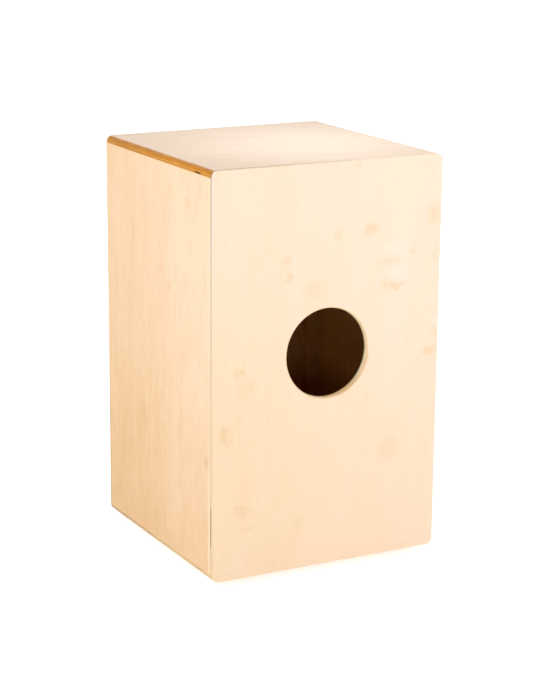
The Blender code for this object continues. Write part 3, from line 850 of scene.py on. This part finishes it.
def turned(bm, rows, steps):
    """A closed surface round +Z. Each row is (height, radius), and the ends close on a point."""
    rings = [ring_of(bm, radius, height, steps) for height, radius in rows]
    for lower, upper in zip(rings, rings[1:]):
        bridge(bm, lower, upper)
    for ring, height in ((rings[0], rows[0][0]), (rings[-1], rows[-1][0])):
        middle = bm.verts.new((0, 0, height))
        for step in range(steps):
            bm.faces.new((ring[step], ring[(step + 1) % steps], middle))


def cut_by(mesh, name, cutters):
    """The mesh less each cutter, all given as meshes."""
    obj = linked(name, mesh)
    tools = []
    for number, cutter in enumerate(cutters):
        tool = linked(f"{name}_cutter_{number}", cutter)
        tools.append(tool)
        boolean = obj.modifiers.new(tool.name, "BOOLEAN")
        boolean.operation = "DIFFERENCE"
        boolean.solver = "EXACT"
        boolean.object = tool
    result = evaluated_mesh(obj)
    for used in (*tools, obj):
        bpy.data.objects.remove(used, do_unlink=True)
    result.name = name
    smooth(result)
    return result


# Screws

SCREW_STEPS = 36
THREAD_ROWS = 6  # rows of points on each turn of a thread
THREAD_PITCH = 0.0012
THREAD_CORE = 0.78  # radius between the threads, as a share of the shank's
THREAD_START = 0.6  # share of the full thread that each of the first turns adds
TIP_RADIUS = 0.00012
TIP_LENGTH = 2.2  # of the plain cone at the tip, as a multiple of the shank's radius
HEAD_RIM = 0.55  # height of the head's upright rim, as a share of the head's
CROWN_FLAT, CROWN_STEPS = 0.42, 8  # share of the head's radius that is flat on top, and steps round its dome
RECESS_WIDTH, RECESS_REACH = 0.26, 0.62  # of the head's radius
RECESS_DEPTH = 0.0013 / 0.0022  # of the head's height
RECESS_TAPER = 0.55  # at the foot of the recess
WOOD_SCREW = (0.0036, 0.0022, 0.0017)  # head radius, head height, shank radius
SMALL_SCREW = (0.0026, 0.0014, 0.0013)
FRONT_LENGTH, FOOT_LENGTH, BLOCK_LENGTH, PLATE_LENGTH = 0.0162, 0.0142, 0.0202, 0.0094


def thread_radius(climb, core, crest):
    """The radius at each share of a turn, on a row that many turns above the thread's start."""

    def radius(share):
        ridge = max(0.0, 1 - abs((climb + share) % 1.0 - 0.5) * 4)
        return core + (crest - core) * ridge * min(1.0, climb * THREAD_START)

    return radius


def recess_blade(name, number, head_radius, head_height):
    """One of the two crossed blades that cut the recess. It narrows towards its foot."""
    blade = bmesh.new()
    bmesh.ops.create_cube(blade, size=1.0)
    for vert in blade.verts:
        taper = 1.0 if vert.co.z > 0 else RECESS_TAPER
        vert.co.x *= 2 * head_radius * RECESS_REACH * taper
        vert.co.y *= head_radius * RECESS_WIDTH * taper
        vert.co.z *= 2 * head_height * RECESS_DEPTH
    bmesh.ops.rotate(blade, verts=blade.verts, matrix=Matrix.Rotation(math.pi / 2 * number, 3, "Z"))
    return mesh_from(blade, f"{name}_blade_{number}")


def screw_mesh(name, head_radius, head_height, shank_radius, length):
    """A pan-head wood screw down -Z with its crown at the origin, a cross recess and a cut thread."""
    tip = shank_radius * TIP_LENGTH
    turns = (length - head_height - tip) / THREAD_PITCH
    rows = [(-length, TIP_RADIUS)]
    for row in range(int(turns * THREAD_ROWS) + 1):
        climb = row / THREAD_ROWS
        radius = thread_radius(climb, shank_radius * THREAD_CORE, shank_radius)
        rows.append((-length + tip + climb * THREAD_PITCH, radius))
    rows.append((-head_height - 0.0002, shank_radius))
    rows.append((-head_height, shank_radius * 1.15))
    rows.append((-head_height, head_radius * 0.97))
    rim = -head_height + head_height * HEAD_RIM + 0.0001
    for step in range(CROWN_STEPS + 1):
        angle = math.radians(90 * step / CROWN_STEPS)
        reach = head_radius * (CROWN_FLAT + (1 - CROWN_FLAT) * math.cos(angle))
        rows.append((rim - rim * math.sin(angle), reach))
    bm = bmesh.new()
    turned(bm, rows, SCREW_STEPS)
    blades = [recess_blade(name, number, head_radius, head_height) for number in range(2)]
    return cut_by(mesh_from(bm, name), name, blades)


def place_screws(mesh, nodes, outward, body, material):
    """Puts a screw in place of each CAD one. Its crown is the middle of the face that looks outward."""
    facing = Vector(outward)
    turn = facing.to_track_quat("Z", "Y").to_matrix().to_4x4()
    for node in nodes:
        low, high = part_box(node)
        middle, half = (low + high) / 2, (high - low) / 2
        crown = middle + Vector([side * reach for side, reach in zip(facing, half)])
        spin = Matrix.Rotation(random.uniform(0, math.pi / 2), 4, "Z")
        place = Matrix.Translation(crown) @ turn @ spin
        new_piece(f"{node}_fine", mesh, material, body, place, node)


def nodes_named(start="", end=""):
    return sorted(name for name in NODES if name.startswith(start) and name.endswith(end))


def make_screws():
    zinc = steel("zinc_screw", (0.66, 0.66, 0.68), 0.22, 0.20)
    front = screw_mesh("front_screw", *WOOD_SCREW, FRONT_LENGTH)
    place_screws(front, nodes_named(start="front_screw"), (0, -1, 0), BOX_BODY, zinc)
    foot = screw_mesh("foot_screw", *WOOD_SCREW, FOOT_LENGTH)
    place_screws(foot, nodes_named(end="foot_screw"), (0, 0, -1), BOX_BODY, zinc)
    block = screw_mesh("block_screw", *WOOD_SCREW, BLOCK_LENGTH)
    plate = screw_mesh("plate_screw", *SMALL_SCREW, PLATE_LENGTH)
    for side, sign in SIDES:
        place_screws(block, nodes_named(f"snare_block_screw_{side}"), (-sign, 0, 0), BOX_BODY, zinc)
        place_screws(plate, nodes_named(f"snare_plate_screw_{side}"), (0, -1, 0), SNARE_BODY, zinc)


# Feet

FOOT_STEPS = 72
FOOT_RIBS = 3
FOOT_TAPER = 0.0015  # from the flange's radius to the base's
FOOT_WAIST = 0.0006  # how far the side is drawn in between them
FLANGE_THICKNESS, FLANGE_ROUND = 0.0016, 0.0004
BASE_ROUND = 0.0012
RECESS_RADIUS, RECESS_HEIGHT, BORE_RADIUS = 0.0052, 0.0050, 0.0022  # for the foot's screw
CURVE_STEPS = 6  # points along the waist, and round the rim of the base
GROOVE = ((0.0005, 0), (0.0003, 0.0004), (-0.0003, 0.0004), (-0.0005, 0))  # (offset, height) of its section


def foot_outline(height, flange):
    """A foot's section as (radius, height), from its bore outward and back under its base."""
    base = flange - FOOT_TAPER
    outline = [(BORE_RADIUS, height), (flange - FLANGE_ROUND, height), (flange, height - FLANGE_ROUND)]
    outline.append((flange, height - FLANGE_THICKNESS))
    for step in range(CURVE_STEPS + 1):
        share = step / CURVE_STEPS
        radius = flange - FOOT_TAPER * share - FOOT_WAIST * math.sin(math.pi * share)
        outline.append((radius, height - 0.0020 - (height - 0.0036) * share))
    for step in range(1, CURVE_STEPS + 1):
        angle = math.radians(90 * step / CURVE_STEPS)
        outline.append((base - BASE_ROUND * (1 - math.cos(angle)), BASE_ROUND * (1 - math.sin(angle))))
    inner, outer = RECESS_RADIUS + 0.0008, base - 0.0014
    for rib in range(FOOT_RIBS):
        middle = outer - (outer - inner) * (rib + 0.5) / FOOT_RIBS
        outline += [(middle + offset, lift) for offset, lift in GROOVE]
    outline += [(RECESS_RADIUS + 0.0003, 0), (RECESS_RADIUS, 0.0003)]
    return outline + [(RECESS_RADIUS, RECESS_HEIGHT), (BORE_RADIUS, RECESS_HEIGHT)]


def foot_mesh():
    """A moulded foot with its base at the origin: waisted side, ribbed base and a recess for the screw."""
    low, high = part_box("front_left_foot")
    bm = bmesh.new()
    outline = foot_outline(high.z - low.z, (high.x - low.x) / 2)
    rings = [ring_of(bm, radius, height, FOOT_STEPS) for radius, height in outline]
    for first, second in zip(rings, rings[1:] + rings[:1]):
        bridge(bm, first, second)
    return mesh_from(bm, "foot", 40)


def make_feet():
    mesh, material = foot_mesh(), rubber()
    for node in nodes_named(end="_foot"):
        low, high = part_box(node)
        place = Matrix.Translation(((low.x + high.x) / 2, (low.y + high.y) / 2, low.z))
        new_piece(f"{node}_fine", mesh, material, BOX_BODY, place, node)


# Snare wires

# Heights are above the swivel axis.
SET_X = 0.055  # from the axis's middle to each set's
SPLAY = math.radians(7.0)
HUB_HEIGHT = 0.010  # of the point that a set leans about
PLATE_WIDTH = 0.046
PLATE_THICKNESS = 0.001
PLATE_LOW = 0.006
PLATE_HIGH = 0.019
PLATE_BACK = -0.0093  # from the swivel axis to the plate's rear face
STRANDS = 10
STRAND_PITCH = 0.0042
STRAND_RADIUS = 0.0008
WIRE_RADIUS = 0.00017
COIL_PITCH = 0.0011
COIL_POINTS = 10
STRAND_LOW = 0.0145
STRAND_LENGTH = 0.090
STRAND_SINK = 0.0003  # how far the strands sink into the solder on the plate
SOLDER_RADIUS = 0.0011
SOLDER_STRETCH = (1.0, 1.15, 1.7)
SOLDER_RISE = 0.0012  # from a strand's foot to the middle of its bead
PLATE_CORNER, PLATE_BEVEL = 0.0015, 0.00012


def coil_points(x, y):
    """Points of one strand's coil."""
    reach = STRAND_RADIUS - WIRE_RADIUS
    turns = STRAND_LENGTH / COIL_PITCH
    start = random.uniform(0, 2 * math.pi)
    points = []
    for step in range(int(turns * COIL_POINTS) + 1):
        angle = start + 2 * math.pi * step / COIL_POINTS
        share = step / (turns * COIL_POINTS)
        height = STRAND_LOW + WIRE_RADIUS + (STRAND_LENGTH - 2 * WIRE_RADIUS) * share
        points.append((x + reach * math.cos(angle), y + reach * math.sin(angle), height))
    return points


def wire_mesh(name, lines):
    """One mesh of round wire along each line of points."""
    curve = bpy.data.curves.new(name, "CURVE")
    curve.dimensions = "3D"
    curve.bevel_depth = WIRE_RADIUS
    curve.bevel_resolution = 1
    curve.use_fill_caps = True
    for line in lines:
        spline = curve.splines.new("POLY")
        spline.points.add(len(line) - 1)
        for point, place in zip(spline.points, line):
            point.co = (*place, 1)
    obj = linked(name, curve)
    mesh = evaluated_mesh(obj)
    bpy.data.objects.remove(obj, do_unlink=True)
    mesh.shade_smooth()
    return mesh


def plate_mesh(name):
    """The plate that the strands are soldered to, with rounded corners and broken edges."""
    bm = bmesh.new()
    size = (PLATE_WIDTH, PLATE_THICKNESS, PLATE_HIGH - PLATE_LOW)
    middle = Vector((0, PLATE_BACK - PLATE_THICKNESS / 2, (PLATE_LOW + PLATE_HIGH) / 2))
    place = Matrix.Translation(middle) @ Matrix.Diagonal((*size, 1.0))
    bmesh.ops.create_cube(bm, size=1.0, matrix=place)
    corners = [e for e in bm.edges if abs((e.verts[1].co - e.verts[0].co).normalized().y) > 0.9]
    bmesh.ops.bevel(bm, geom=corners, offset=PLATE_CORNER, segments=4, profile=0.5, affect="EDGES")
    bmesh.ops.bevel(bm, geom=bm.edges[:], offset=PLATE_BEVEL, segments=1, profile=0.5, affect="EDGES")
    return mesh_from(bm, name)


def bead_mesh(name, places, y):
    """A bead of solder at the root of each strand."""
    bm = bmesh.new()
    stretched = Matrix.Diagonal((*(SOLDER_RADIUS * part for part in SOLDER_STRETCH), 1.0))
    for x in places:
        place = Matrix.Translation((x, y, STRAND_LOW + SOLDER_RISE)) @ stretched
        bmesh.ops.create_uvsphere(bm, u_segments=16, v_segments=10, radius=1.0, matrix=place)
    return mesh_from(bm, name, 80)


def lean(sign):
    """The tilt of one set about its hub."""
    hub = Vector((0, 0, HUB_HEIGHT))
    turn = Matrix.Rotation(sign * SPLAY, 4, "Y")
    return Matrix.Translation(hub) @ turn @ Matrix.Translation(-hub)


def snare_set(side, sign, material, solder):
    """The plate, its coiled strands and a solder bead at the root of each."""
    name = f"snare_wires_{side}"
    front = PLATE_BACK - PLATE_THICKNESS
    strand_y = front - STRAND_RADIUS + STRAND_SINK
    places = [(number - (STRANDS - 1) / 2) * STRAND_PITCH for number in range(STRANDS)]
    coils = wire_mesh(f"{name}_coils", [coil_points(x, strand_y) for x in places])
    plate = plate_mesh(f"{name}_plate")
    beads = bead_mesh(f"{name}_beads", places, front - 0.0002)
    base = Matrix.Translation(PIVOT + Vector((sign * SET_X, 0, 0))) @ lean(sign)
    for mesh in (plate, coils, beads):
        mesh.transform(base)
    new_piece(f"snare_plate_{side}", plate, material, SNARE_BODY, stands_for=name)
    new_piece(f"snare_coils_{side}", coils, material, SNARE_BODY)
    new_piece(f"snare_solder_{side}", beads, solder, SNARE_BODY)


def make_snare():
    nickel = steel("nickelled_wire", (0.74, 0.71, 0.65), 0.20, 0.18)
    solder = steel("solder", (0.60, 0.60, 0.59), 0.38, 0.15)
    washer = felt()
    for side, sign in SIDES:
        snare_set(side, sign, nickel, solder)
        paint(f"friction_washer_{side}", washer)


# Glue lines

GLUE_STEPS = 150
GLUE_SHY = 0.00012  # how far a glue line stays behind the boards' faces on average
GLUE_WOBBLE = 0.0001
GLUE_CLEARANCE = 0.00001  # to the boards above and below it
GLUE_INSET = 0.0005  # how far it stops short of the boards' inner faces


def glue_material():
    """Yellowed glue, a little mottled."""
    surface = Surface("dried_glue")
    mottle = surface.noise((60, 60, 60), 3.0, 0.6, 6.0)
    colour = surface.mix(mottle, (0.78, 0.52, 0.27), (0.62, 0.36, 0.16))
    return surface.finish(colour, surface.maths("MULTIPLY_ADD", mottle, 0.2, 0.35), (mottle, 0.00002))


def glue_line(name, side, low_z, high_z, material):
    """The glue between a side board and the board above or below it, with an uneven outer edge."""
    bm = bmesh.new()
    low, high = low_z + GLUE_CLEARANCE, high_z - GLUE_CLEARANCE
    inner = HALF_WIDTH - BOARD + GLUE_INSET
    rows = []
    for step in range(GLUE_STEPS + 1):
        y = CARCASS_FRONT + (CARCASS_BACK - CARCASS_FRONT) * step / GLUE_STEPS
        waves = math.sin(step * 0.9) + math.sin(step * 0.37 + 1.3) + random.uniform(-1, 1)
        outer = HALF_WIDTH - GLUE_SHY + GLUE_WOBBLE * waves / 3
        corners = ((outer, low), (outer, high), (inner, high), (inner, low))
        rows.append([bm.verts.new((side * x, y, z)) for x, z in corners])
    for first, second in zip(rows, rows[1:]):
        bridge(bm, first, second)
    bm.faces.new(rows[0])
    bm.faces.new(rows[-1])
    new_piece(name, mesh_from(bm, name), material, BOX_BODY)


def make_glue_lines():
    material = glue_material()
    bottom_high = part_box("bottom_panel")[1].z
    for side, sign in SIDES:
        glue_line(f"glue_line_top_{side}", sign, SIDE_HIGH.z, TOP_LOW.z, material)
        glue_line(f"glue_line_bottom_{side}", sign, bottom_high, SIDE_LOW.z, material)


# The stage

PAPER = (0.90, 0.90, 0.90)


def glowing_paper(name, glow_at):
    """White paper with a light of its own. glow_at(surface) gives the light's strength."""
    surface = Surface(name)
    surface.feed(surface.shader.inputs["Emission Strength"], glow_at(surface))
    surface.shader.inputs["Emission Color"].default_value = (1, 1, 1, 1)
    return surface.finish(rgba(PAPER), 0.9, specular_ior_level=0.1)


def floor_glow(surface):
    """Stronger further out, so that the floor fades into white."""
    share = surface.rise(surface.length(surface.place), GLOW_START, GLOW_REACH)
    return surface.maths("MULTIPLY_ADD", share, GLOW_FAR - GLOW_NEAR, GLOW_NEAR)


def make_floor():
    half = FLOOR_SIZE / 2
    corners = [(-half, -half, 0), (half, -half, 0), (half, half, 0), (-half, half, 0)]
    mesh = bpy.data.meshes.new("floor")
    mesh.from_pydata(corners, [], [(0, 1, 2, 3)])
    mesh.materials.append(glowing_paper("floor_paper", floor_glow))
    linked("floor", mesh)


def make_backdrop():
    """A round wall of paper that hides the horizon in level views. Only the camera sees it."""
    bm = bmesh.new()
    bmesh.ops.create_cone(
        bm, segments=BACKDROP_STEPS, radius1=BACKDROP_RADIUS, radius2=BACKDROP_RADIUS,
        depth=BACKDROP_HEIGHT, matrix=Matrix.Translation((0, 0, BACKDROP_HEIGHT / 2)),
    )
    mesh = mesh_from(bm, "backdrop")
    mesh.materials.append(glowing_paper("backdrop_paper", lambda surface: BACKDROP_GLOW))
    wall = linked("backdrop", mesh)
    wall.visible_diffuse = False
    wall.visible_glossy = False
    wall.visible_transmission = False
    wall.visible_shadow = False


def make_light():
    world = bpy.data.worlds.new("world")
    bpy.context.scene.world = world
    world.use_nodes = True
    sky = world.node_tree.nodes["Background"]
    sky.inputs["Color"].default_value = (*WORLD_COLOUR, 1)
    sky.inputs["Strength"].default_value = WORLD_STRENGTH
    for lamp in LAMPS:
        add_lamp(*lamp)
    view = bpy.context.scene.view_settings
    view.view_transform = "Standard"
    view.look = "None"


random.seed(7)
set_camera()
make_floor()
make_light()
make_backdrop()
paint_panels()
paint_inside()
make_screws()
make_feet()
make_snare()
make_glue_lines()
